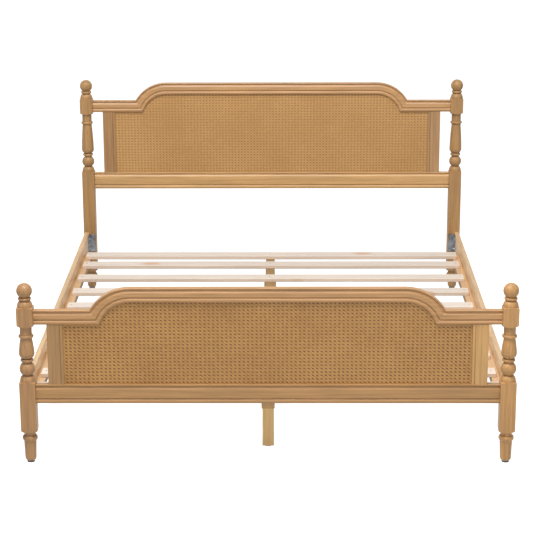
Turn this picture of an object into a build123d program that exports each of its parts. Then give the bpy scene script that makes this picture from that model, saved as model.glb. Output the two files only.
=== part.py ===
from build123d import *
from math import acos, cos, degrees, sin, sqrt
import os

os.makedirs("parts", exist_ok=True)

# Bed frame with turned posts and arched cane panels, in millimetres.
# +X is the sleeper's right seen from the foot, +Y runs from footboard to headboard, +Z is up.
# The origin is on the floor in the middle of the four posts.

# Overall sizes
post_spacing_x = 1560.0        # between post centre lines across the bed
post_spacing_y = 2090.0        # between post centre lines along the bed

# Turned posts, cut from square lengths; levels are measured up from the floor
post_square = 52.0
square_corner_radius = 2.5
finial_height = 78.0           # cap, ring and ball above the upper square
upper_square_height = 66.0
footboard_turning = 185.0      # turned length between the two squares
headboard_turning = 245.0
footboard_square_top = 280.0
headboard_square_top = 519.0
footboard_square_bottom = 105.0
headboard_square_bottom = 80.0
footboard_neck_length = 33.0   # from the upper square down to the thin bead
headboard_neck_length = 37.0
ball_radius = 25.5
waist_radius = 14.5            # the deepest cuts, between rings and balls
ring_radius = 21.4
ring_half_height = 5.0
cap_height = 18.0
cap_radius = 25.0
cap_neck_radius = 19.0
cap_to_ring = 26.5             # from the top of a square to the middle of its ring
neck_radius = 19.5
shoulder_sweep = 17.0          # turned curve under each square
bead_radius = 24.5
bead_half_height = 5.5
vase_radius = 25.4
vase_belly = 96.0              # widest place of the vase above the lower square
vase_ring = 71.0               # ring under the vase, above the lower square
waist_play = 1.0               # straight bit of waist beside a ring
square_edge_drop = 3.0         # sloped edge where a square ends under its cap
bead_groove = 11.0             # from the thin bead's middle to the top of the vase
foot_bead_radius = 25.0
foot_bead_half_height = 10.0
foot_bead_drop = 20.0          # from the neck under the square to the middle of the bead
foot_neck_radius = 18.5
foot_top_radius = 20.3
foot_end_radius = 18.3
foot_end_height = 13.0         # rounded end of the foot
sole_radius = 13.0
glide_height = 6.0
glide_radius = 12.0
glide_pin_radius = 4.0
glide_pin_length = 9.0

# Arched panels
rail_thickness = 24.0
arch_rail_height = 48.0
arch_radius = 150.0
arch_rise = 74.0
shoulder_length = 182.0        # straight part of the top rail beside each post
footboard_arm_drop = 11.0      # top rail below the top of the upper square
headboard_arm_drop = 9.0
footboard_low_rail_drop = 11.0  # lower rail below the top of the lower square
headboard_low_rail_drop = 7.0
footboard_low_rail_height = 64.5
headboard_low_rail_height = 69.0
# Moulding on the front of every rail: cove, slope, flat band, valley and bead
cove_top = 1.5                 # levels below the rail's top edge
cove_foot = 8.7
slope_foot = 15.7
valley_top = 19.0              # levels above the rail's bottom edge
bead_top = 14.5
bead_nose = 7.0
cove_depth = 5.0               # depths behind the front face
band_depth = 0.5
valley_depth = 4.0
bead_back = 4.5
edge_break = 1.0
stile_gap = 42.0               # open slot between post and stile
stile_width = 51.0
stile_thickness = 18.0
stile_bead = 9.0
quirk_radius = 1.5
cane_thickness = 2.0
board_thickness = 5.0
cane_face = -3.0               # front of the cane, measured from the rail's middle
groove_depth = 8.0
groove_play = 0.3
panel_play = 1.0
tenon_thickness = 12.0
tenon_length = 20.0
tenon_shoulder = 7.0
tenon_play = 0.25

# Side rails, ledgers and slats
side_rail_thickness = 18.0
side_rail_height = 110.0
side_rail_drop = 25.0          # below the top of the footboard's lower squares
side_rail_inset = 4.0          # rail face behind the post's outer face
side_rail_edge_radius = 2.0
ledger_width = 28.0
ledger_height = 22.0
ledger_drop = 55.0             # below the top of the side rail
slat_count = 10
slat_width = 65.0
slat_thickness = 15.0
slat_end_gap = 12.0
slat_edge_radius = 2.5
first_slat = 150.0             # footboard centre line to first slat
last_slat = 240.0              # last slat to headboard centre line
end_pitch = 150.0
ledger_overhang = 6.0

# Centre beam and its legs
front_beam_width = 44.0
rear_beam_width = 36.0
beam_height = 58.0
joint_slat = 8                 # the two beam lengths meet under this slat
leg_square = 38.0
leg_edge_radius = 2.0
front_leg = 155.0              # from the footboard centre line
rear_leg = 245.0               # from the headboard centre line; the middle leg stands halfway
leg_glide_height = 4.0
leg_glide_radius = 14.0
leg_bolt_radius = 4.0
leg_bolt_reach = 28.0
joint_plate_length = 160.0
joint_plate_height = 34.0
plate_thickness = 3.0
plate_screw_radius = 2.5
plate_screw_length = 16.0
plate_screw_head_radius = 4.5
plate_screw_head_height = 2.0

# Corner brackets and their bolts
bracket_post_leg = 27.0
bracket_rail_leg = 48.0
bracket_height = 75.0
bracket_drop = 8.0             # below the top of the side rail
bracket_thickness = 3.0
bolt_spacing = 44.0
post_bolt_inset = 15.0         # from the bracket's corner
rail_bolt_inset = 30.0
bolt_radius = 4.0
bolt_head_radius = 6.5
bolt_head_height = 4.5
bolt_length = 15.0
insert_radius = 6.0
insert_length = 14.0
hole_play = 0.2
rail_screw_radius = 2.5
rail_screw_length = 14.0
rail_screw_head_radius = 5.0
rail_screw_head_height = 2.5
hole_depth_play = 1.0          # left free beyond the end of a bolt, screw, pin or tenon

# Places that follow from the sizes above
post_x = post_spacing_x / 2
post_y = post_spacing_y / 2
post_face_x = post_x - post_square / 2
post_face_y = post_y - post_square / 2
arch_run = sqrt(arch_radius**2 - (arch_radius - arch_rise)**2)
crown_half = post_face_x - shoulder_length - arch_run
stile_outer = post_face_x - stile_gap
stile_inner = stile_outer - stile_width
rail_outer = post_x + post_square / 2 - side_rail_inset
rail_inner = rail_outer - side_rail_thickness
side_rail_top = footboard_square_top - side_rail_drop
rail_bottom = side_rail_top - side_rail_height
ledger_top = side_rail_top - ledger_drop
slat_half_length = rail_inner - slat_end_gap
slat_top = ledger_top + slat_thickness
bracket_middle = side_rail_top - bracket_drop - bracket_height / 2
groove_back = cane_face + cane_thickness + board_thickness + groove_play
inner_pitch = (post_spacing_y - first_slat - last_slat - 2 * end_pitch) / (slat_count - 3)
slat_places = [-post_y + first_slat]
for step in range(slat_count - 2):
    slat_places.append(-post_y + first_slat + end_pitch + step * inner_pitch)
slat_places.append(post_y - last_slat)
deck_start = slat_places[0] - slat_width / 2
deck_end = slat_places[-1] + slat_width / 2
bolt_levels = (bracket_middle - bolt_spacing / 2, bracket_middle + bolt_spacing / 2)


def save(piece, name):
    piece.label = name
    export_step(piece, f"parts/{name}.step")


def upright(x, y):
    """A vertical plane through a post's centre line, with its own x outwards and y up."""
    return Plane(origin=(x, y, 0), x_dir=(1, 0, 0), z_dir=(0, -1, 0))


def ring(middle, half_height, radius, root):
    """Turned ring or ball: an arc that leaves the root radius and comes back to it."""
    ThreePointArc((root, middle - half_height), (radius, middle), (root, middle + half_height))


def shoulder(neck, level, corner):
    """Quarter round from a neck out to the square above it."""
    reach = corner - neck
    ThreePointArc((neck, level),
                  (neck + reach * sqrt(0.5), level + shoulder_sweep * (1 - sqrt(0.5))),
                  (corner, level + shoulder_sweep))


def cap(level, corner):
    """Sloped edge of a square's top and the dome turned above it."""
    Line((corner, level - square_edge_drop), (cap_radius, level))
    ThreePointArc((cap_radius, level), (cap_radius - 0.8, level + cap_height / 2),
                  (cap_neck_radius, level + cap_height))


def turned_outline(square_top, square_bottom, turning, neck_length):
    """Half of a post's turned outline, from the floor up to the ball, closed on the axis."""
    # Just outside the square's corner, so that the blank's own faces are left there
    corner = post_square * 0.72
    block_bottom = square_top + turning
    block_top = block_bottom + upper_square_height
    top = block_top + finial_height
    bead = block_bottom - neck_length
    foot_bead = square_bottom - foot_bead_drop
    foot_end = glide_height + foot_end_height
    ball_reach = sqrt(ball_radius**2 - waist_radius**2)
    low_ball = square_top + cap_to_ring - ring_half_height - waist_play + ball_reach
    low_ring = square_top + vase_ring
    vase_foot = low_ring + ring_half_height + waist_play
    vase_head = bead - bead_groove
    belly = square_top + vase_belly
    with BuildLine() as outline:
        # Foot, from the sole to the bead under the square
        Line((0, glide_height), (sole_radius, glide_height))
        ThreePointArc((sole_radius, glide_height),
                      ((sole_radius + 2 * foot_end_radius) / 3, (2 * glide_height + foot_end) / 3),
                      (foot_end_radius, foot_end))
        Line((foot_end_radius, foot_end), (foot_top_radius, foot_bead - foot_bead_half_height))
        ThreePointArc((foot_top_radius, foot_bead - foot_bead_half_height),
                      (foot_bead_radius, foot_bead),
                      (foot_neck_radius, foot_bead + foot_bead_half_height))
        Line((foot_neck_radius, foot_bead + foot_bead_half_height), (foot_neck_radius, square_bottom))
        # Lower square, turned round below and capped above
        shoulder(foot_neck_radius, square_bottom, corner)
        Line((corner, square_bottom + shoulder_sweep), (corner, square_top - square_edge_drop))
        cap(square_top, corner)
        # Lower ball between two deep cuts
        Line((cap_neck_radius, square_top + cap_height), (waist_radius, low_ball - ball_reach))
        ring(low_ball, ball_reach, ball_radius, waist_radius)
        Line((waist_radius, low_ball + ball_reach), (waist_radius, low_ring - ring_half_height))
        ring(low_ring, ring_half_height, ring_radius, waist_radius)
        Line((waist_radius, low_ring + ring_half_height), (waist_radius, vase_foot))
        # Vase, full at its belly and drawn in towards the thin bead
        ThreePointArc((waist_radius, vase_foot), (vase_radius - 1.5, (vase_foot + belly) / 2),
                      (vase_radius, belly))
        ThreePointArc((vase_radius, belly), (vase_radius - 2.2, (belly + vase_head) / 2),
                      (neck_radius, vase_head))
        Line((neck_radius, vase_head), (neck_radius, bead - bead_half_height))
        ring(bead, bead_half_height, bead_radius, neck_radius)
        Line((neck_radius, bead + bead_half_height), (neck_radius, block_bottom))
        # Upper square with its cap, ring and ball
        shoulder(neck_radius, block_bottom, corner)
        Line((corner, block_bottom + shoulder_sweep), (corner, block_top - square_edge_drop))
        cap(block_top, corner)
        high_ring = block_top + cap_to_ring
        Line((cap_neck_radius, block_top + cap_height), (waist_radius, high_ring - ring_half_height))
        ring(high_ring, ring_half_height, ring_radius, waist_radius)
        Line((waist_radius, high_ring + ring_half_height),
             (waist_radius, top - ball_radius - ball_reach))
        ThreePointArc((waist_radius, top - ball_radius - ball_reach),
                      (ball_radius, top - ball_radius), (0, top))
        Line((0, top), (0, glide_height))
    return outline


def turned_post(name, x, y, top, outline_sizes, arm_top, low_rail):
    """One post: turned, then left square where the rails meet it, with its mortises and bolt holes."""
    inward_x = -1 if x > 0 else 1
    inward_y = -1 if y > 0 else 1
    arm_middle = arm_top - arch_rail_height / 2
    low_middle = low_rail[0] - low_rail[1] / 2
    with BuildPart() as post:
        # Square length of wood, then everything outside the turned outline taken off
        with BuildSketch(Plane(origin=(x, y, 0))):
            RectangleRounded(post_square, post_square, square_corner_radius)
        extrude(amount=top)
        with BuildSketch(upright(x, y)):
            with BuildLine():
                add(turned_outline(*outline_sizes).line)
            make_face()
        revolve(axis=Axis((x, y, 0), (0, 0, 1)), mode=Mode.INTERSECT)
        # Mortises for the tenons of the top and the lower rail
        for middle, height in ((arm_middle, arch_rail_height), (low_middle, low_rail[1])):
            face = Plane(origin=(x + inward_x * post_square / 2, y, middle),
                         x_dir=(0, 1, 0), z_dir=(inward_x, 0, 0))
            with BuildSketch(face):
                Rectangle(tenon_thickness + 2 * tenon_play, height - 2 * tenon_shoulder + 2 * tenon_play)
            extrude(amount=-(tenon_length + hole_depth_play), mode=Mode.SUBTRACT)
        # Holes for the threaded inserts behind the corner bracket
        for level in bolt_levels:
            hole_x = x / abs(x) * (rail_inner - post_bolt_inset)
            hole_face = Plane(origin=(hole_x, y + inward_y * post_square / 2, level),
                              x_dir=(1, 0, 0), z_dir=(0, inward_y, 0))
            with BuildSketch(hole_face):
                Circle(insert_radius + hole_play)
            extrude(amount=-(insert_length + 2 * hole_depth_play), mode=Mode.SUBTRACT)
        # Socket for the glide's pin
        with BuildSketch(Plane(origin=(x, y, glide_height))):
            Circle(glide_pin_radius + hole_play)
        extrude(amount=glide_pin_length + hole_depth_play, mode=Mode.SUBTRACT)
    save(post.part, name)


def moulded_section(height):
    """Rail section with its moulded front towards -x and the top edge at y = 0."""
    front = -rail_thickness / 2
    back = rail_thickness / 2
    band = front + band_depth
    with BuildSketch() as section:
        with BuildLine():
            Line((back, -height), (back, 0))
            Line((back, 0), (front + edge_break, 0))
            Line((front + edge_break, 0), (front, -cove_top))
            ThreePointArc((front, -cove_top), (front + cove_depth * 0.65, -(cove_top + cove_foot) / 2),
                          (front + cove_depth, -cove_foot))
            Line((front + cove_depth, -cove_foot), (band, -slope_foot))
            Line((band, -slope_foot), (band, valley_top - height))
            Line((band, valley_top - height), (front + valley_depth, bead_top + 2 - height))
            Line((front + valley_depth, bead_top + 2 - height),
                 (front + valley_depth, bead_top - height))
            ThreePointArc((front + valley_depth, bead_top - height), (front, bead_nose - height),
                          (front + bead_back, -height))
            Line((front + bead_back, -height), (back, -height))
        make_face()
    return section.sketch


def section_plane(x, y, level):
    """Cross section of a piece that runs along X: its own x is Y, its own y is Z."""
    return Plane(origin=(x, y, level), x_dir=(0, 1, 0), z_dir=(1, 0, 0))


def front_plane(y, level):
    """An elevation seen from the foot end, standing at y and with its zero at a level."""
    return Plane(origin=(0, y, level), x_dir=(1, 0, 0), z_dir=(0, -1, 0))


def joint_reach(inset):
    """How far beyond the crown the contour, moved inwards, meets the shoulder."""
    radius = arch_radius - inset
    return sqrt(radius**2 - (radius - arch_rise)**2)


def opening_outline(arm_top, sill, inset, half_width):
    """Outline of the cane opening or its panel: the rail's contour moved in, closed below."""
    crown = arm_top + arch_rise - inset
    arm = arm_top - inset
    radius = arch_radius - inset
    corner = crown_half + joint_reach(inset)
    half_swing = acos((radius - arch_rise) / radius) / 2
    arc_x = crown_half + radius * sin(half_swing)
    arc_z = crown - radius * (1 - cos(half_swing))
    with BuildLine() as outline:
        Line((-half_width, sill), (half_width, sill))
        Line((half_width, sill), (half_width, arm))
        Line((half_width, arm), (corner, arm))
        ThreePointArc((corner, arm), (arc_x, arc_z), (crown_half, crown))
        Line((crown_half, crown), (-crown_half, crown))
        ThreePointArc((-crown_half, crown), (-arc_x, arc_z), (-corner, arm))
        Line((-corner, arm), (-half_width, arm))
        Line((-half_width, arm), (-half_width, sill))
    return outline


def panel_body(y, arm_top, sill, inset, half_width, front, back):
    """A flat sheet with the opening's outline, between two depths measured from the rail's middle."""
    with BuildPart() as sheet:
        with BuildSketch(front_plane(y + front, 0)):
            with BuildLine():
                add(opening_outline(arm_top, sill, inset, half_width).line)
            make_face()
        extrude(amount=-(back - front))
    return sheet.part


def arched_rail(name, y, arm_top, sill):
    """Top rail: straight arms beside the posts, mitred to an arch that rises to a level crown."""
    crown_top = arm_top + arch_rise
    corner = (crown_half + joint_reach(0), 0, arm_top)
    inner_corner = (crown_half + joint_reach(arch_rail_height), 0, arm_top - arch_rail_height)
    mitre = Plane(origin=(corner[0], y, corner[2]), x_dir=(0, 1, 0),
                  z_dir=(inner_corner[2] - corner[2], 0, corner[0] - inner_corner[0]))
    swing = degrees(acos((arch_radius - arch_rise) / arch_radius))
    centre = (crown_half, y, crown_top - arch_radius)
    groove = panel_body(y, arm_top, sill - groove_depth, arch_rail_height - groove_depth,
                        stile_outer, cane_face, groove_back)
    with BuildPart() as arch:
        with BuildSketch(section_plane(0, y, crown_top)):
            add(moulded_section(arch_rail_height))
        extrude(amount=crown_half)
        with BuildSketch(section_plane(crown_half, y, crown_top)):
            add(moulded_section(arch_rail_height))
        revolve(axis=Axis(centre, (0, 1, 0)), revolution_arc=swing + 25)
        split(bisect_by=mitre, keep=Keep.TOP)
    with BuildPart() as arm:
        with BuildSketch(section_plane(post_face_x, y, arm_top)):
            add(moulded_section(arch_rail_height))
        extrude(amount=-(shoulder_length + 60))
        split(bisect_by=mitre, keep=Keep.BOTTOM)
        with BuildSketch(section_plane(post_face_x, y, arm_top - arch_rail_height / 2)):
            Rectangle(tenon_thickness, arch_rail_height - 2 * tenon_shoulder)
        extrude(amount=tenon_length)
    with BuildPart() as rail:
        add(arch.part)
        add(arm.part)
        mirror(about=Plane.YZ)
        add(groove, mode=Mode.SUBTRACT)
    save(rail.part, name)


def lower_rail(name, y, top, height):
    """Straight moulded rail under the cane, tenoned into both posts, grooved on top for the panel."""
    with BuildPart() as rail:
        with BuildSketch(section_plane(-post_face_x, y, top)):
            add(moulded_section(height))
        extrude(amount=2 * post_face_x)
        for side in (-1, 1):
            end = Plane(origin=(side * post_face_x, y, top - height / 2),
                        x_dir=(0, 1, 0), z_dir=(side, 0, 0))
            with BuildSketch(end):
                Rectangle(tenon_thickness, height - 2 * tenon_shoulder)
            extrude(amount=tenon_length)
        slot_middle = (cane_face + groove_back) / 2
        with BuildSketch(Plane(origin=(0, y + slot_middle, top))):
            Rectangle(2 * stile_outer, groove_back - cane_face)
        extrude(amount=-groove_depth, mode=Mode.SUBTRACT)
    save(rail.part, name)


def stile(name, side, y, sill, head):
    """Upright beside the cane, with tongues in the rails' grooves and a beaded inner edge."""
    middle_x = side * (stile_inner + stile_outer) / 2
    tongue = groove_depth - panel_play
    tongue_thickness = groove_back - cane_face - groove_play
    inner = -side * stile_width / 2
    with BuildPart() as piece:
        with BuildSketch(Plane(origin=(middle_x, y, sill))):
            Rectangle(stile_width, stile_thickness)
            # Quirk that leaves a slim bead along the cane
            with Locations((inner + side * stile_bead, -stile_thickness / 2)):
                Circle(quirk_radius, mode=Mode.SUBTRACT)
            # Groove for the panel's edge
            with Locations((inner + side * groove_depth / 2, (cane_face + groove_back) / 2)):
                Rectangle(groove_depth, groove_back - cane_face, mode=Mode.SUBTRACT)
        extrude(amount=head - sill)
        with BuildSketch(Plane(origin=(middle_x, y, sill - tongue))):
            with Locations((side * groove_depth / 2, cane_face + tongue_thickness / 2)):
                Rectangle(stile_width - groove_depth, tongue_thickness)
        extrude(amount=head - sill + 2 * tongue)
    save(piece.part, name)


def slat(name, y):
    with BuildPart() as piece:
        with BuildSketch(section_plane(-slat_half_length, y, ledger_top)):
            with Locations((0, slat_thickness / 2)):
                RectangleRounded(slat_width, slat_thickness, slat_edge_radius)
        extrude(amount=2 * slat_half_length)
    save(piece.part, name)


def corner_bracket(name, side, end):
    """Folded steel angle between a side rail's inner face and a post, with two holes in each leg."""
    corner_x = side * rail_inner
    corner_y = end * post_face_y
    with BuildPart() as bracket:
        with BuildSketch(Plane(origin=(corner_x, corner_y, bracket_middle - bracket_height / 2))):
            with Locations((-side * bracket_post_leg / 2, -end * bracket_thickness / 2)):
                Rectangle(bracket_post_leg, bracket_thickness)
            with Locations((-side * bracket_thickness / 2, -end * bracket_rail_leg / 2)):
                Rectangle(bracket_thickness, bracket_rail_leg)
        extrude(amount=bracket_height)
        for level in bolt_levels:
            with BuildSketch(Plane(origin=(corner_x - side * post_bolt_inset, corner_y, level),
                                   x_dir=(1, 0, 0), z_dir=(0, -end, 0))):
                Circle(bolt_radius + hole_play)
            extrude(amount=bracket_thickness, mode=Mode.SUBTRACT)
            with BuildSketch(Plane(origin=(corner_x, corner_y - end * rail_bolt_inset, level),
                                   x_dir=(0, 1, 0), z_dir=(-side, 0, 0))):
                Circle(rail_screw_radius + hole_play)
            extrude(amount=bracket_thickness, mode=Mode.SUBTRACT)
    save(bracket.part, name)


def headed(plane, shank_radius, shank_length, head_radius, head_height):
    """Bolt or screw: its plane lies on the face under the head and looks out of the hole."""
    with BuildPart() as fastener:
        with BuildSketch(plane):
            Circle(shank_radius)
        extrude(amount=-shank_length)
        with BuildSketch(plane):
            Circle(head_radius)
        extrude(amount=head_height)
    return fastener.part


# Headboard and footboard
ends = (
    ("headboard", 1,
     (headboard_square_top, headboard_square_bottom, headboard_turning, headboard_neck_length),
     headboard_arm_drop, headboard_low_rail_drop, headboard_low_rail_height),
    ("footboard", -1,
     (footboard_square_top, footboard_square_bottom, footboard_turning, footboard_neck_length),
     footboard_arm_drop, footboard_low_rail_drop, footboard_low_rail_height),
)
for board, end, outline_sizes, arm_drop, low_drop, low_height in ends:
    y = end * post_y
    square_top, square_bottom, turning, neck_length = outline_sizes
    block_top = square_top + turning + upper_square_height
    arm_top = block_top - arm_drop
    low_top = square_top - low_drop
    arched_rail(f"{board}_top_rail", y, arm_top, low_top)
    lower_rail(f"{board}_lower_rail", y, low_top, low_height)
    for hand, side in (("left", -1), ("right", 1)):
        turned_post(f"{board}_post_{hand}", side * post_x, y, block_top + finial_height,
                    outline_sizes, arm_top, (low_top, low_height))
        stile(f"{board}_stile_{hand}", side, y, low_top, arm_top - arch_rail_height)
    tongue = groove_depth - panel_play
    board_front = cane_face + cane_thickness
    cane = panel_body(y, arm_top, low_top - tongue, arch_rail_height - tongue,
                      stile_inner + tongue, cane_face, board_front)
    save(cane, f"{board}_cane")
    backing = panel_body(y, arm_top, low_top - tongue, arch_rail_height - tongue,
                         stile_inner + tongue, board_front, board_front + board_thickness)
    save(backing, f"{board}_backing")

# Side rails and the ledgers that carry the slats
for hand, side in (("left", -1), ("right", 1)):
    with BuildPart() as side_rail:
        with BuildSketch(Plane(origin=(0, post_face_y, 0), x_dir=(1, 0, 0), z_dir=(0, -1, 0))):
            with Locations((side * (rail_inner + rail_outer) / 2, (side_rail_top + rail_bottom) / 2)):
                RectangleRounded(side_rail_thickness, side_rail_height, side_rail_edge_radius)
        extrude(amount=2 * post_face_y)
        for end in (-1, 1):
            for level in bolt_levels:
                with BuildSketch(Plane(origin=(side * rail_inner, end * (post_face_y - rail_bolt_inset), level),
                                       x_dir=(0, 1, 0), z_dir=(-side, 0, 0))):
                    Circle(rail_screw_radius + hole_play)
                extrude(amount=-(rail_screw_length - bracket_thickness + hole_depth_play),
                        mode=Mode.SUBTRACT)
    save(side_rail.part, f"side_rail_{hand}")
    with BuildPart() as ledger:
        with BuildSketch(Plane(origin=(side * (rail_inner - ledger_width / 2), 0, ledger_top))):
            with Locations((0, (deck_start + deck_end) / 2)):
                Rectangle(ledger_width, deck_end - deck_start + 2 * ledger_overhang)
        extrude(amount=-ledger_height)
    save(ledger.part, f"ledger_{hand}")

for number, place in enumerate(slat_places, start=1):
    slat(f"slat_{number}", place)

# Centre beam in two lengths, flush on the left, and the plate that joins them
beam_joint = slat_places[joint_slat - 1]
beam_left = -front_beam_width / 2
beam_bottom = ledger_top - beam_height
beams = (
    ("front", deck_start, beam_joint, front_beam_width),
    ("rear", beam_joint, deck_end, rear_beam_width),
)
legs = (
    ("front", -post_y + front_leg, beam_left + front_beam_width / 2),
    ("middle", (front_leg - rear_leg) / 2, beam_left + front_beam_width / 2),
    ("rear", post_y - rear_leg, beam_left + rear_beam_width / 2),
)
plate_screw_places = (-joint_plate_length / 3, -joint_plate_length / 6,
                      joint_plate_length / 6, joint_plate_length / 3)
plate_level = ledger_top - beam_height / 2
for length, start, finish, width in beams:
    with BuildPart() as beam:
        with BuildSketch(Plane(origin=(beam_left + width / 2, (start + finish) / 2, beam_bottom))):
            Rectangle(width, finish - start)
        extrude(amount=beam_height)
        for leg_name, leg_y, leg_x in legs:
            if start < leg_y < finish:
                with BuildSketch(Plane(origin=(leg_x, leg_y, beam_bottom))):
                    Circle(leg_bolt_radius + hole_play)
                extrude(amount=leg_bolt_reach + hole_depth_play, mode=Mode.SUBTRACT)
        for place in plate_screw_places:
            if start < beam_joint + place < finish:
                with BuildSketch(Plane(origin=(beam_left, beam_joint + place, plate_level),
                                       x_dir=(0, 1, 0), z_dir=(-1, 0, 0))):
                    Circle(plate_screw_radius + hole_play)
                extrude(amount=-(plate_screw_length - plate_thickness + hole_depth_play),
                        mode=Mode.SUBTRACT)
    save(beam.part, f"centre_beam_{length}")

with BuildPart() as plate:
    with BuildSketch(Plane(origin=(beam_left, beam_joint, plate_level), x_dir=(0, 1, 0), z_dir=(-1, 0, 0))):
        Rectangle(joint_plate_length, joint_plate_height)
        with Locations([(place, 0) for place in plate_screw_places]):
            Circle(plate_screw_radius + hole_play, mode=Mode.SUBTRACT)
    extrude(amount=plate_thickness)
save(plate.part, "beam_joint_plate")

screws = []
for place in plate_screw_places:
    under_head = Plane(origin=(beam_left - plate_thickness, beam_joint + place, plate_level),
                       x_dir=(0, 1, 0), z_dir=(-1, 0, 0))
    screws.append(headed(under_head, plate_screw_radius, plate_screw_length,
                         plate_screw_head_radius, plate_screw_head_height))
save(Compound(children=screws), "beam_plate_screws")

for leg_name, leg_y, leg_x in legs:
    with BuildPart() as leg:
        with BuildSketch(Plane(origin=(leg_x, leg_y, leg_glide_height))):
            RectangleRounded(leg_square, leg_square, leg_edge_radius)
        extrude(amount=beam_bottom - leg_glide_height)
        with BuildSketch(Plane(origin=(leg_x, leg_y, beam_bottom))):
            Circle(leg_bolt_radius + hole_play)
        extrude(amount=-(leg_bolt_reach + hole_depth_play), mode=Mode.SUBTRACT)
    save(leg.part, f"centre_leg_{leg_name}")

leg_bolts = []
leg_glides = []
for leg_name, leg_y, leg_x in legs:
    with BuildPart() as bolt:
        with BuildSketch(Plane(origin=(leg_x, leg_y, beam_bottom - leg_bolt_reach))):
            Circle(leg_bolt_radius)
        extrude(amount=2 * leg_bolt_reach)
    leg_bolts.append(bolt.part)
    with BuildPart() as glide:
        with BuildSketch(Plane(origin=(leg_x, leg_y, 0))):
            Circle(leg_glide_radius)
        extrude(amount=leg_glide_height)
    leg_glides.append(glide.part)
save(Compound(children=leg_bolts), "leg_bolts")
save(Compound(children=leg_glides), "leg_glides")

# Brackets, bolts, inserts and glides at the four corners
post_bolts = []
post_inserts = []
rail_screws = []
post_glides = []
for board, end in (("headboard", 1), ("footboard", -1)):
    for hand, side in (("left", -1), ("right", 1)):
        corner_bracket(f"{board}_bracket_{hand}", side, end)
        for level in bolt_levels:
            bolt_x = side * (rail_inner - post_bolt_inset)
            on_plate = Plane(origin=(bolt_x, end * (post_face_y - bracket_thickness), level),
                             x_dir=(1, 0, 0), z_dir=(0, -end, 0))
            post_bolts.append(headed(on_plate, bolt_radius, bolt_length, bolt_head_radius, bolt_head_height))
            on_post = Plane(origin=(bolt_x, end * post_face_y, level), x_dir=(1, 0, 0), z_dir=(0, -end, 0))
            with BuildPart() as insert:
                with BuildSketch(on_post):
                    Circle(insert_radius)
                    Circle(bolt_radius + hole_play, mode=Mode.SUBTRACT)
                extrude(amount=-insert_length)
            post_inserts.append(insert.part)
            on_leg = Plane(origin=(side * (rail_inner - bracket_thickness),
                                   end * (post_face_y - rail_bolt_inset), level),
                           x_dir=(0, 1, 0), z_dir=(-side, 0, 0))
            rail_screws.append(headed(on_leg, rail_screw_radius, rail_screw_length,
                                      rail_screw_head_radius, rail_screw_head_height))
        with BuildPart() as glide:
            with BuildSketch(Plane(origin=(side * post_x, end * post_y, 0))):
                Circle(glide_radius)
            extrude(amount=glide_height)
            with BuildSketch(Plane(origin=(side * post_x, end * post_y, glide_height))):
                Circle(glide_pin_radius)
            extrude(amount=glide_pin_length)
        post_glides.append(glide.part)
save(Compound(children=post_bolts), "bracket_bolts")
save(Compound(children=post_inserts), "post_inserts")
save(Compound(children=rail_screws), "bracket_rail_screws")
save(Compound(children=post_glides), "post_glides")
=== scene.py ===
import bpy
import bmesh
import math
from mathutils import Matrix, Vector


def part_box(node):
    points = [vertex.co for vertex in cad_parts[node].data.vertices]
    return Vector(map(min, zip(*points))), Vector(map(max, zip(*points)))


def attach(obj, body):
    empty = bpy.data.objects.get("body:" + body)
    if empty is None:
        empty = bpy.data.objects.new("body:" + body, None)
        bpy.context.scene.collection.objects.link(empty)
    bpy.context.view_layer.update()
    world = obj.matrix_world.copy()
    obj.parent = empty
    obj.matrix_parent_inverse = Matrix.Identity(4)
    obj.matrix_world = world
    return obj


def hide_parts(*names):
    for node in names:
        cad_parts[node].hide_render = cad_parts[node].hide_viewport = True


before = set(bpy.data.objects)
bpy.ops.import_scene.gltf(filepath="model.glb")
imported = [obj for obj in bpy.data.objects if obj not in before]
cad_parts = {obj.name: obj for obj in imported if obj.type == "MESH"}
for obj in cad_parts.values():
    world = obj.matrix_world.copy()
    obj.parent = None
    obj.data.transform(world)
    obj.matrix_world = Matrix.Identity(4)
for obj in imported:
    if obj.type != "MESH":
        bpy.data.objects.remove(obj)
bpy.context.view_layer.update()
print("frame loaded:", len(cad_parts), "nodes")


class Wire:
    # one shader socket that can be used in sums
    def __init__(self, recipe, socket):
        self.recipe = recipe
        self.socket = socket

    def math(self, operation, first, second=None):
        values = {0: first} if second is None else {0: first, 1: second}
        return self.recipe.add("Math", {"operation": operation}, values)

    def __add__(self, other):
        return self.math("ADD", self, other)

    def __radd__(self, other):
        return self.math("ADD", other, self)

    def __sub__(self, other):
        return self.math("SUBTRACT", self, other)

    def __rsub__(self, other):
        return self.math("SUBTRACT", other, self)

    def __mul__(self, other):
        return self.math("MULTIPLY", self, other)

    def __rmul__(self, other):
        return self.math("MULTIPLY", other, self)

    def __pow__(self, other):
        return self.math("POWER", self, other)

    def __abs__(self):
        return self.math("ABSOLUTE", self)

    def __gt__(self, other):
        return self.math("GREATER_THAN", self, other)

    def __lt__(self, other):
        return self.math("LESS_THAN", self, other)


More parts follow.
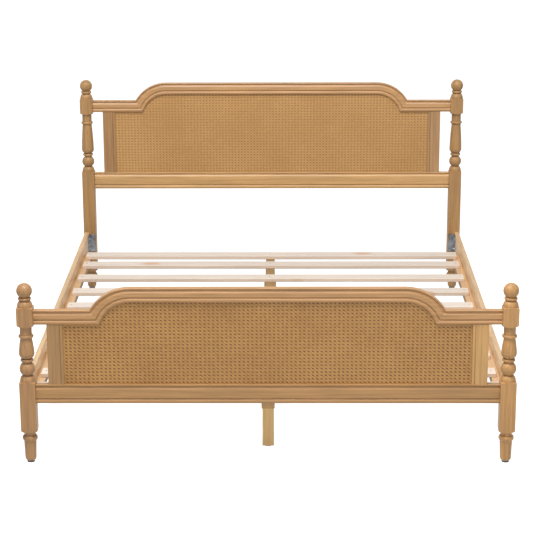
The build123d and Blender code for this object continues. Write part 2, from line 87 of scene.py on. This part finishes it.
class Recipe:
    # the nodes of one material or of the world
    def __init__(self, tree):
        self.tree = tree
        self.tree.nodes.clear()

    def add(self, kind, settings=None, sockets=None, out=0):
        node = self.tree.nodes.new("ShaderNode" + kind)
        for key, value in (settings or {}).items():
            setattr(node, key, value)
        for key, value in (sockets or {}).items():
            if isinstance(value, Wire):
                self.tree.links.new(value.socket, node.inputs[key])
            else:
                node.inputs[key].default_value = value
        if isinstance(out, tuple):
            return [Wire(self, node.outputs[name]) for name in out]
        return Wire(self, node.outputs[out]) if len(node.outputs) else None

    def mix(self, factor, first, second, blend="MIX"):
        settings = {"data_type": "RGBA", "clamp_factor": True, "blend_type": blend}
        return self.add("Mix", settings, {0: factor, 6: first, 7: second}, 2)

    def spread(self, value, low, high, toLow=0.0, toHigh=1.0):
        # smooth step from low to high
        sockets = {0: value, 1: low, 2: high, 3: toLow, 4: toHigh}
        return self.add("MapRange", {"interpolation_type": "SMOOTHSTEP"}, sockets)

    def place(self, scale=(1, 1, 1), shift=(0, 0, 0)):
        where = self.add("TexCoord", out="Object")
        return self.add("Mapping", None, {"Vector": where, "Location": shift, "Scale": scale})

    def along(self, source, axes):
        # one or more axes of the point ("Object") or of the way a face looks ("Normal")
        return self.add("SeparateXYZ", None, {0: self.add("TexCoord", out=source)}, axes)

    def noise(self, where, scale, detail=3.0, rough=0.5, warp=0.0):
        sockets = {"Vector": where, "Scale": scale, "Detail": detail}
        sockets.update({"Roughness": rough, "Distortion": warp})
        return self.add("TexNoise", None, sockets)

    def surface(self, colour, rough, height, depth, strength, metallic=0.0):
        bump = self.add("Bump", None, {"Strength": strength, "Distance": depth, "Height": height})
        sockets = {"Base Color": colour, "Roughness": rough, "Normal": bump, "Metallic": metallic}
        shader = self.add("BsdfPrincipled", None, sockets)
        self.add("OutputMaterial", None, {"Surface": shader})
        return self.material


def newMaterial(name):
    material = bpy.data.materials.new(name)
    material.use_nodes = True
    recipe = Recipe(material.node_tree)
    recipe.material = material
    return recipe


def tone(red, green, blue):
    # an sRGB colour from 0 to 255, as the renderer's own linear numbers
    parts = [value / 255 for value in (red, green, blue)]
    linear = [p / 12.92 if p <= 0.04045 else ((p + 0.055) / 1.055) ** 2.4 for p in parts]
    return (*linear, 1.0)


def shade(colour, amount):
    return tuple(part * amount for part in colour[:3]) + (1.0,)


def keepPiece(builder, name, material):
    # the finished mesh as an object at the origin
    mesh = bpy.data.meshes.new(name)
    builder.to_mesh(mesh)
    builder.free()
    mesh.materials.append(material)
    piece = bpy.data.objects.new(name, mesh)
    bpy.context.scene.collection.objects.link(piece)
    return piece


def middleOf(node):
    low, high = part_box(node)
    return (low + high) / 2


camera = {
    "place": (0.05368, -6.90658, 2.25698),
    "down": 17.140,      # degrees below level
    "turn": 0.557,       # degrees towards the left
    "roll": -0.180,
    "lens": 128.59,
    "sensor": 36.0,
    "shift": 0.12058,    # the photograph is framed a little high
    "near": 0.1,
    "far": 60.0,
}


def makeCamera(look):
    data = bpy.data.cameras.new("camera")
    data.sensor_width = look["sensor"]
    data.lens = look["lens"]
    data.shift_y = look["shift"]
    data.clip_start = look["near"]
    data.clip_end = look["far"]
    holder = bpy.data.objects.new("camera", data)
    bpy.context.scene.collection.objects.link(holder)
    aim = Matrix.Rotation(math.radians(look["turn"]), 4, "Z")
    aim = aim @ Matrix.Rotation(math.radians(90 - look["down"]), 4, "X")
    aim = aim @ Matrix.Rotation(math.radians(look["roll"]), 4, "Z")
    holder.matrix_world = Matrix.Translation(look["place"]) @ aim
    bpy.context.scene.camera = holder


makeCamera(camera)
print("camera set")


studio = {
    "floorSize": 40.0,
    "floorColour": (0.55, 0.55, 0.55, 1.0),
    "floorGlow": 0.88,      # for the camera and for reflections, so that the floor reads white
    "ambient": 0.27,        # the world's light on the object; seen directly, the world is white
    "target": (0, 0, 0.3),  # what both lamps point at
    "key": {"power": 322.0, "place": (-0.5, -2.4, 5.2), "size": 2.6},
    "fill": {"power": 50.0, "place": (1.6, -5.8, 1.3), "size": 2.6},
}
white = (1, 1, 1, 1)


def seenDirectly(recipe):
    # 1 for rays from the camera or off a mirror, 0 for those that only light the object
    rays = recipe.add("LightPath", out=("Is Camera Ray", "Is Glossy Ray", "Is Transmission Ray"))
    total = rays[0] + rays[1] + rays[2]
    return total.math("MINIMUM", total, 1.0)


def makeFloor(look):
    recipe = newMaterial("floorPaint")
    level = seenDirectly(recipe) * look["floorGlow"]
    glow = recipe.add("Emission", None, {"Color": white, "Strength": level})
    paint = recipe.add("BsdfDiffuse", None, {"Color": look["floorColour"]})
    both = recipe.add("AddShader", None, {0: paint, 1: glow})
    recipe.add("OutputMaterial", None, {"Surface": both})
    builder = bmesh.new()
    bmesh.ops.create_grid(builder, x_segments=1, y_segments=1, size=look["floorSize"] / 2)
    floor = keepPiece(builder, "floor", recipe.material)


def makeWorld(look):
    world = bpy.data.worlds.new("studio")
    bpy.context.scene.world = world
    world.use_nodes = True
    recipe = Recipe(world.node_tree)
    level = seenDirectly(recipe) * (1 - look["ambient"]) + look["ambient"]
    sky = recipe.add("Background", None, {"Color": white, "Strength": level})
    recipe.add("OutputWorld", None, {"Surface": sky})


def makeLamp(name, look, target):
    lamp = bpy.data.lights.new(name, "AREA")
    lamp.energy = look["power"]
    lamp.size = look["size"]
    holder = bpy.data.objects.new(name, lamp)
    bpy.context.scene.collection.objects.link(holder)
    spot = Vector(look["place"])
    aim = (Vector(target) - spot).to_track_quat("-Z", "Y").to_matrix().to_4x4()
    holder.matrix_world = Matrix.Translation(spot) @ aim


makeFloor(studio)
makeWorld(studio)
for name in ("key", "fill"):
    makeLamp(name, studio[name], studio["target"])
bpy.context.scene.view_settings.view_transform = "Standard"
print("studio set")


frameWood = {
    "streakGap": 0.0075,    # metres between broad streaks of the grain
    "fibreGap": 0.0012,
    "poreGap": 1.25,        # against the gap of the fibres
    "patchScale": 5.0,
    "streakPull": 0.035,    # how far streaks are drawn out along the grain
    "fibrePull": 0.016,
    "patchPull": 0.3,
    "streakWarp": 0.25,
    "streaks": 0.50,        # shares of streaks, fibres and patches in the growth
    "fibres": 0.28,
    "patches": 0.22,
    "growth": (0.36, 0.64),     # from the palest to the darkest
    "light": 1.15,          # palest and darkest growth against the wood's own colour
    "dark": 0.80,
    "poreRange": (0.60, 0.70),
    "pores": 0.30,
    "poreShade": 0.78,      # against the darkest growth, as are the tones of the three painted shades
    "paintedValleyShade": 0.09,          # painted shade in the valleys of the rails
    "paintedValleyTone": 0.45,
    "paintedWaistShade": 0.06,     # painted shade in the narrow rings of a post
    "paintedWaistTone": 0.40,
    "paintedQuirkShade": 0.40,     # painted shade in the small groove along each stile's bead
    "paintedQuirkTone": 0.35,
    "rough": (0.40, 0.56),
    "roughRange": (0.25, 0.8),
    "fibreRise": 0.6,       # fibres stand up and pores sink in the bump
    "poreSink": 0.5,
    "bump": 0.0003,
    "bumpStrength": 0.35,
}

turnedWood = dict(frameWood, light=1.17, dark=0.77, pores=0.36)

# where the painted shade gathers and which faces take painted light and shade
masks = {
    "valley": (0.0012, 0.0042),     # metres behind a rail's front face
    "valleyUp": (0.1, 0.5),         # but not on faces that look up
    "waist": (0.0150, 0.0205),      # radius in a post, from painted shade to clean
    "quirk": (0.0009, 0.0018),      # metres from the middle of the groove
    "quirkInset": 0.009,            # from a stile's inner edge to the middle of its groove
    "quirkDepth": 0.009,
    "upright": (0.4, 0.6),          # how far up or down a face looks
    "knot": (0.02, 0.08),
    "knotPull": 0.5,
}


def grainField(recipe, grain, pull, shift):
    scale = [1.0, 1.0, 1.0]
    scale["XYZ".index(grain)] = pull
    return recipe.place(scale, shift)


def valleyShadeMask(recipe, face):
    # painted shade behind the front face of a rail, on faces that look to the foot of the bed or
    # down
    depth = recipe.along("Object", "Y") - face
    upward = recipe.spread(recipe.along("Normal", "Z"), *masks["valleyUp"])
    return recipe.spread(depth, *masks["valley"]) * (1 - upward)


def waistShadeMask(recipe):
    # painted shade in the narrow rings of a post, by the distance from the centre line of whichever
    # post this is
    post = middleOf("headboard_post_right")
    across, length = recipe.along("Object", ("X", "Y"))
    across = abs(across) - post.x
    length = abs(length) - post.y
    radius = (across * across + length * length) ** 0.5
    return 1 - recipe.spread(radius, *masks["waist"])


def quirkShadeMask(recipe, face):
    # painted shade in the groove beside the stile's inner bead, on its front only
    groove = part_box("headboard_stile_right")[0].x + masks["quirkInset"]
    across, length = recipe.along("Object", ("X", "Y"))
    away = abs(abs(across) - groove)
    return (1 - recipe.spread(away, *masks["quirk"])) * (length < face + masks["quirkDepth"])


def uprightShadingMask(recipe):
    # the upright faces of a board, for the painted light and shade that set them apart from the
    # tops
    return 1 - recipe.spread(abs(recipe.along("Normal", "Z")), *masks["upright"])


def knotMask(recipe, gap):
    # a few soft knots, longer along the slat
    sockets = {"Vector": recipe.place((masks["knotPull"], 1, 1)), "Scale": 1 / gap}
    away = recipe.add("TexVoronoi", {"voronoi_dimensions": "2D"}, sockets, "Distance")
    return 1 - recipe.spread(away, *masks["knot"])


def woodRecipe(name, colour, grain, look, shift, face=None, turned=False, beaded=None, uprightShading=None):
    recipe = newMaterial(name)
    streakField = grainField(recipe, grain, look["streakPull"], shift)
    fibreField = grainField(recipe, grain, look["fibrePull"], shift)
    patchField = grainField(recipe, grain, look["patchPull"], shift)
    streaks = recipe.noise(streakField, 1 / look["streakGap"], 3.0, 0.55, look["streakWarp"])
    fibres = recipe.noise(fibreField, 1 / look["fibreGap"], 3.0, 0.6)
    patches = recipe.noise(patchField, look["patchScale"], 2.0)
    pores = recipe.noise(fibreField, 1 / (look["fibreGap"] * look["poreGap"]), 1.0)
    pores = recipe.spread(pores, *look["poreRange"])
    growth = streaks * look["streaks"] + fibres * look["fibres"] + patches * look["patches"]
    pale, dark = shade(colour, look["light"]), shade(colour, look["dark"])
    finish = recipe.mix(recipe.spread(growth, *look["growth"]), pale, dark)
    layers = [(pores * look["pores"], shade(dark, look["poreShade"]))]
    # painted shade in the rails' valleys, the posts' narrow rings and the stiles' grooves
    if face is not None:
        layers.append((valleyShadeMask(recipe, face) * look["paintedValleyShade"], shade(dark, look["paintedValleyTone"])))
    if turned:
        layers.append((waistShadeMask(recipe) * look["paintedWaistShade"], shade(dark, look["paintedWaistTone"])))
    if beaded is not None:
        groove = quirkShadeMask(recipe, beaded)
        layers.append((groove * look["paintedQuirkShade"], shade(dark, look["paintedQuirkTone"])))
    if "knotGap" in look:
        layers.append((knotMask(recipe, look["knotGap"]) * look["knots"], look["knotTone"]))
    for cover, darker in layers:
        finish = recipe.mix(cover, finish, darker)
    # painted light and shade on the upright faces, against the tops
    if uprightShading is not None:
        finish = recipe.mix(uprightShadingMask(recipe), finish, uprightShading, "MULTIPLY")
    rough = recipe.spread(fibres, *look["roughRange"], *look["rough"])
    height = fibres * look["fibreRise"] - pores * look["poreSink"]
    return recipe.surface(finish, rough, height, look["bump"], look["bumpStrength"])


def dress(node, material):
    # a CAD node keeps its mesh and takes a new finish
    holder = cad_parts[node]
    if not holder.material_slots:
        holder.data.materials.append(material)
    for entry in holder.material_slots:
        entry.link = "OBJECT"
        entry.material = material


frameTones = {
    "headboard": {
        "top_rail": tone(189, 145, 97), "lower_rail": tone(202, 159, 104),
        "post_left": tone(170, 130, 81), "post_right": tone(171, 130, 81),
        "stile_left": tone(163, 123, 80), "stile_right": tone(175, 135, 91),
    },
    "footboard": {
        "top_rail": tone(182, 138, 90), "lower_rail": tone(171, 129, 80),
        "post_left": tone(171, 129, 84), "post_right": tone(187, 141, 87),
        "stile_left": tone(160, 122, 78), "stile_right": tone(192, 149, 93),
    },
    "side": tone(208, 174, 131),
    "sideUprightLight": (1.34, 1.30, 1.22, 1.0),   # painted light: the rails' upright faces paler than their tops
}

# where in the grain each part is cut, so that no two look the same
cuts = {"headboard": 0.7, "footboard": 0.2, "next": 0.17, "level": 0.4, "side": (0.3, 0.2, 0.7)}


def dressBoard(board, tones):
    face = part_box(board + "_top_rail")[0].y
    for number, (part, colour) in enumerate(tones.items()):
        name = board + part.title().replace("_", "")
        shift = (cuts[board], cuts["next"] * number, cuts["level"])
        if part.endswith("rail"):
            wood = woodRecipe(name, colour, "X", frameWood, shift, face=face)
        elif part.startswith("post"):
            wood = woodRecipe(name, colour, "Z", turnedWood, shift, turned=True)
        else:
            wood = woodRecipe(name, colour, "Z", frameWood, shift, beaded=face)
        dress(f"{board}_{part}", wood)


for board in ("headboard", "footboard"):
    dressBoard(board, frameTones[board])
sideWood = woodRecipe(
    "sideWood", frameTones["side"], "Y", frameWood, cuts["side"], uprightShading=frameTones["sideUprightLight"])
dress("side_rail_left", sideWood)
dress("side_rail_right", sideWood)
print("frame wood set")


plainWood = dict(
    frameWood, streakGap=0.012, light=1.06, dark=0.88, pores=0.08, rough=(0.56, 0.72))
knottedWood = dict(plainWood, knotGap=0.35, knots=0.7, knotTone=tone(206, 158, 116))
plainCut = (0.11, 0.23, 0.31)
plainTones = {   # colour, way of the grain, and painted light and shade of the upright faces against the tops
    # painted shade on the slats' upright edges
    "slat": (tone(226, 214, 201), "X", (1.0, 0.90, 0.82, 1.0)),
    # the beam's colour is painted shadow of the slats on its top; the factor brings its upright
    # faces back up to the wood's own tone
    "centre_beam": (tone(156, 124, 82), "Y", (1.70, 1.68, 1.70, 1.0)),
    "centre_leg": (tone(236, 197, 135), "Z", None),
    # painted shade on the ledgers' upright faces
    "ledger": (tone(206, 172, 132), "Y", (0.56, 0.49, 0.42, 1.0)),
}
for start, (colour, grain, uprightShading) in plainTones.items():
    look = knottedWood if start == "slat" else plainWood
    name = start.replace("_", "") + "Wood"
    wood = woodRecipe(name, colour, grain, look, plainCut, uprightShading=uprightShading)
    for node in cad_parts:
        if node.startswith(start):
            dress(node, wood)
print("slats, beam and ledgers set")


steel = {
    "colour": tone(158, 164, 172),
    "spangle": 55.0,        # crystals of zinc to a metre
    "flakes": (0.2, 0.8),
    "rough": (0.27, 0.44),
    "patchScale": 90.0,
    "patchRange": (0.35, 0.65),
    "patches": 0.85,
    "patchShade": 0.55,
    "bump": 0.0002,
    "bumpStrength": 0.2,
}
screwSteel = dict(
    steel, colour=tone(192, 172, 140), rough=(0.38, 0.55), spangle=200.0, patches=0.5)


def steelRecipe(name, look):
    recipe = newMaterial(name)
    sockets = {"Vector": recipe.place(), "Scale": look["spangle"]}
    cells = recipe.add("TexVoronoi", None, sockets, "Color")
    patch = recipe.noise(recipe.place(), look["patchScale"], 2.0)
    dull = recipe.spread(patch, *look["patchRange"]) * look["patches"]
    colour = recipe.mix(dull, look["colour"], shade(look["colour"], look["patchShade"]))
    flake = recipe.add("RGBToBW", None, {"Color": cells})
    rough = recipe.spread(flake, *look["flakes"], *look["rough"])
    return recipe.surface(colour, rough, patch, look["bump"], look["bumpStrength"], metallic=1.0)


zincSteel = steelRecipe("zincSteel", steel)
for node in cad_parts:
    if "bracket" in node or node in ("leg_bolts", "post_inserts"):
        dress(node, zincSteel)
yellowSteel = steelRecipe("yellowSteel", screwSteel)
dress("beam_joint_plate", yellowSteel)
dress("beam_plate_screws", yellowSteel)

glide = {
    "colour": tone(74, 74, 76),
    "rough": 0.55,
    "grainScale": 900.0,
    "wearScale": 60.0,
    "wearRange": (0.35, 0.75),
    "wear": 0.4,
    "wornShade": 1.4,
    "bump": 0.0001,
    "bumpStrength": 0.25,
}
legGlide = dict(glide, colour=tone(206, 182, 146), rough=0.7)


def glideRecipe(name, look):
    recipe = newMaterial(name)
    grain = recipe.noise(recipe.place(), look["grainScale"], 2.0)
    wear = recipe.noise(recipe.place(), look["wearScale"], 3.0, 0.6)
    wear = recipe.spread(wear, *look["wearRange"]) * look["wear"]
    colour = recipe.mix(wear, look["colour"], shade(look["colour"], look["wornShade"]))
    return recipe.surface(colour, look["rough"], grain, look["bump"], look["bumpStrength"])


dress("post_glides", glideRecipe("glidePlastic", glide))
dress("leg_glides", glideRecipe("legGlidePlastic", legGlide))
print("steel and glides set")


backing = {
    "headboard": tone(174, 128, 80),    # the front of each, behind the cane, darker than the back as painted shade seen through the weave
    "footboard": tone(148, 104, 66),
    "back": tone(206, 166, 116),
    "grainPull": 0.06,
    "grainScale": 160.0,
    "figure": (0.3, 0.7),
    "frontShade": 0.8,
    "backShade": 0.82,
    "rough": 0.6,
    "bump": 0.0003,
    "bumpStrength": 0.3,
}


def backingRecipe(name, front, look):
    recipe = newMaterial(name)
    veneer = recipe.noise(recipe.place((look["grainPull"], 1.0, 1.0)), look["grainScale"], 4.0, 0.6)
    figure = recipe.spread(veneer, *look["figure"])
    behind = recipe.along("Normal", "Y") > 0.5
    # painted shade: the front behind the cane is darker than the back
    shadedFrontFace = recipe.mix(figure, front, shade(front, look["frontShade"]))
    backFace = recipe.mix(figure, look["back"], shade(look["back"], look["backShade"]))
    colour = recipe.mix(behind, shadedFrontFace, backFace)
    return recipe.surface(colour, look["rough"], veneer, look["bump"], look["bumpStrength"])


for board in ("headboard", "footboard"):
    dress(board + "_backing", backingRecipe(board + "Back", backing[board], backing))


cane = {
    "strandWidth": 0.0026,
    "pairGap": 0.0032,      # between the middles of the two strands of a pair
    "risingWidth": 0.0017,  # strands that climb to the right
    "fallingWidth": 0.0029,
    "thickness": 0.0004,
    "setBack": 0.0008,      # the weave's middle, behind the front of the plain sheet
    "weave": 0.00035,       # how far a strand bows over the next
    "lift": 0.00056,        # how far the diagonal strands lie in front of the middle of the weave
    "tuck": 0.0072,         # how far the cane goes into the groove round it
    "archRadius": 0.102,
    "archRise": 0.074,
    "crownHalf": 0.44265,
    "headboard": {
        "pitch": (0.01330, 0.01164), "pale": tone(206, 161, 102), "dark": tone(188, 143, 85),
        "falling": 1.06,    # painted light: how much lighter the strands that climb to the left are, which lie in front
    },
    "footboard": {
        "pitch": (0.01400, 0.01162), "pale": tone(191, 145, 83), "dark": tone(170, 124, 67),
        "falling": 1.15,
    },
    "strandScale": 160.0,
    "patchScale": 6.0,
    "fibreScale": 1400.0,
    "strands": 0.6,         # shares in the tone, of strand by strand and of broad patches
    "patches": 0.4,
    "toneRange": (0.32, 0.68),
    "roughRange": (0.2, 0.8),
    "rough": (0.40, 0.56),
    "bump": 0.0001,
    "bumpStrength": 0.2,
}


def caneRecipe(name, look, tones, paintedLight=1.0):
    recipe = newMaterial(name)
    strand = recipe.noise(recipe.place(), look["strandScale"], 3.0, 0.6)
    patch = recipe.noise(recipe.place(), look["patchScale"], 3.0)
    fibre = recipe.noise(recipe.place(), look["fibreScale"], 2.0)
    share = strand * look["strands"] + patch * look["patches"]
    pale, dark = shade(tones["pale"], paintedLight), shade(tones["dark"], paintedLight)
    colour = recipe.mix(recipe.spread(share, *look["toneRange"]), pale, dark)
    rough = recipe.spread(strand, *look["roughRange"], *look["rough"])
    return recipe.surface(colour, rough, fibre, look["bump"], look["bumpStrength"])


def strandRuns(start, step, count, inside):
    # the stretches of a line of lattice points that lie inside the opening
    runs = []
    current = []
    for index in range(count):
        spot = (start[0] + step[0] * index, start[1] + step[1] * index)
        if inside(*spot):
            current.append(spot)
        elif current:
            runs.append(current)
            current = []
    if current:
        runs.append(current)
    return [run for run in runs if len(run) > 1]


def layStrand(builder, run, width, shift, face, bow):
    # a flat strip along the run, moved sideways by shift and bowed over what it crosses
    first, last = Vector(run[0]) + Vector(shift), Vector(run[-1]) + Vector(shift)
    middle = (first + last) / 2
    length = (last - first).length
    slope = (last - first) / length
    aim = Matrix((
        (slope.x, -slope.y, 0, middle.x),
        (0, 0, -1, face),
        (slope.y, slope.x, 0, middle.y),
        (0, 0, 0, 1),
    ))
    sized = aim @ Matrix.Diagonal((length, width, 1, 1))
    made = bmesh.ops.create_grid(
        builder, x_segments=len(run) - 1, y_segments=1, size=0.5, matrix=sized)
    for vert in made["verts"]:
        vert.co.y += bow(vert.co.x - shift[0], vert.co.z - shift[1])


def makeCane(board, look):
    low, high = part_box(board + "_cane")
    tuck = look["tuck"]
    pitchX, pitchZ = look[board]["pitch"]
    halfX, halfZ = pitchX / 2, pitchZ / 2
    crown, sill, half = high.z - tuck, low.z + tuck, high.x - tuck
    shoulder = crown - look["archRise"]
    archCentre = crown - look["archRadius"]
    face = low.y + look["setBack"]

    def inside(x, z):
        if z < sill - tuck or abs(x) > half + tuck or z > crown + tuck:
            return False
        beyond = abs(x) - look["crownHalf"]
        if z < shoulder + tuck or beyond <= 0:
            return True
        return math.hypot(beyond, z - archCentre) < look["archRadius"] + tuck

    def over(x, z):
        wave = math.cos(math.pi * x / pitchX) * math.cos(math.pi * (z - sill) / pitchZ)
        return look["weave"] * wave

    def under(x, z):
        return -over(x, z)

    def flat(x, z):
        return -look["lift"]

    # each line starts outside the opening and is cut to it by strandRuns
    columns = int((half + tuck) / pitchX)
    rows = int((crown + tuck - sill) / pitchZ) + 1
    base = sill - pitchZ
    upCount, acrossCount = 2 * rows + 4, 4 * columns + 4
    lines = {"Uprights": [], "Crosses": [], "Rising": [], "Falling": []}
    for column in range(-columns, columns + 1):
        lines["Uprights"].append(((column * pitchX, base), (0, halfZ), upCount))
    for row in range(rows + 1):
        start = (-(columns + 1) * pitchX, sill + row * pitchZ)
        lines["Crosses"].append((start, (halfX, 0), acrossCount))
    for line in range(-columns - rows - 2, columns + 2):
        start = line * pitchX + halfX
        lines["Rising"].append(((start, base), (halfX, halfZ), upCount))
        lines["Falling"].append(((-start, base), (-halfX, halfZ), upCount))

    pair, width = look["pairGap"] / 2, look["strandWidth"]
    front = face - look["thickness"] / 2
    plain = caneRecipe(board + "Cane", look, look[board])
    # a lighter copy of the cane as painted light on the strands in front
    litCane = caneRecipe(board + "LitFrontCane", look, look[board], look[board]["falling"])
    families = (
        ("Uprights", width, ((-pair, 0), (pair, 0)), face, over, plain),
        ("Crosses", width, ((0, -pair), (0, pair)), face, under, plain),
        ("Rising", look["risingWidth"], ((0, 0),), face, flat, plain),
        ("Falling", look["fallingWidth"], ((0, 0),), front, flat, litCane),
    )
    for name, width, shifts, level, bow, finish in families:
        builder = bmesh.new()
        for start, step, count in lines[name]:
            for run in strandRuns(start, step, count, inside):
                for shift in shifts:
                    layStrand(builder, run, width, shift, level, bow)
        bmesh.ops.solidify(builder, geom=builder.faces[:], thickness=look["thickness"])
        bmesh.ops.recalc_face_normals(builder, faces=builder.faces[:])
        print(board, name, len(builder.faces), "faces")
        piece = keepPiece(builder, board + name, finish)
        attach(piece, "root")
        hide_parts(board + "_cane")


makeCane("footboard", cane)
makeCane("headboard", cane)
print("cane woven")


screw = {
    "slats": 10,
    "radius": 0.0032,
    "topRadius": 0.00256,
    "segments": 12,
    "height": 0.0014,
    "sunk": 0.0006,         # how much of the head is in the slat
    "rim": 0.00112,         # flat ring round the recess
    "recess": 0.00056,      # depth of the recess
    "endInset": 0.014,
}


def makeSlatScrews(look):
    # one screw into each ledger and one into the beam, for every slat
    builder = bmesh.new()
    beam = middleOf("centre_beam_rear").x
    for number in range(1, look["slats"] + 1):
        low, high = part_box(f"slat_{number}")
        middle = (low.y + high.y) / 2
        level = high.z + look["height"] / 2 - look["sunk"]
        for across in (low.x + look["endInset"], beam, high.x - look["endInset"]):
            made = bmesh.ops.create_cone(
                builder, cap_ends=True, segments=look["segments"],
                radius1=look["radius"], radius2=look["topRadius"], depth=look["height"],
                matrix=Matrix.Translation((across, middle, level)))
            top = list({f for v in made["verts"] for f in v.link_faces if f.normal.z > 0.9})
            bmesh.ops.inset_region(builder, faces=top, thickness=look["rim"])
            sinking = list({v for f in top for v in f.verts})
            bmesh.ops.translate(builder, verts=sinking, vec=(0, 0, -look["recess"]))
    piece = keepPiece(builder, "slatScrews", yellowSteel)
    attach(piece, "root")


makeSlatScrews(screw)
print("screws set")
